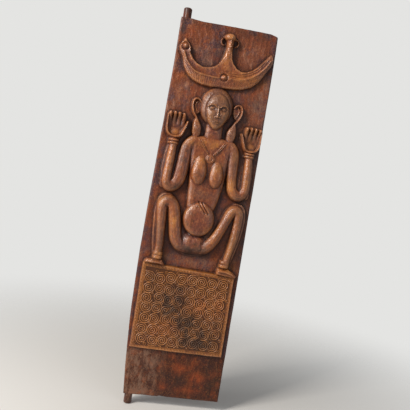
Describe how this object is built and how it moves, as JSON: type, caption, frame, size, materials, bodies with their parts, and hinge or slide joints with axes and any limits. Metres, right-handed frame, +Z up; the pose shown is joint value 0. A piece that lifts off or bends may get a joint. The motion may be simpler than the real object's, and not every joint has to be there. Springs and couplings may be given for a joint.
{
  "type": "carved granary door",
  "caption": "Narrow wooden door leaf with pivot pins on its hinge edge, carved in high relief with a squatting figure under a crescent, above a scroll panel.",
  "frame": {"origin": "on the pivot axis, at the shoulder where the lower pin leaves the board", "axes": "+Z up the pivot axis, +X from the hinge edge to the closing edge, the carved front faces -Y"},
  "size_m": [0.4226, 0.087, 1.628],
  "materials": {
    "patinated_hardwood": "hewn and carved by hand, darkened and polished by handling"
  },
  "bodies": {
    "root": {"door_leaf": "patinated_hardwood"}
  },
  "joints": []
}
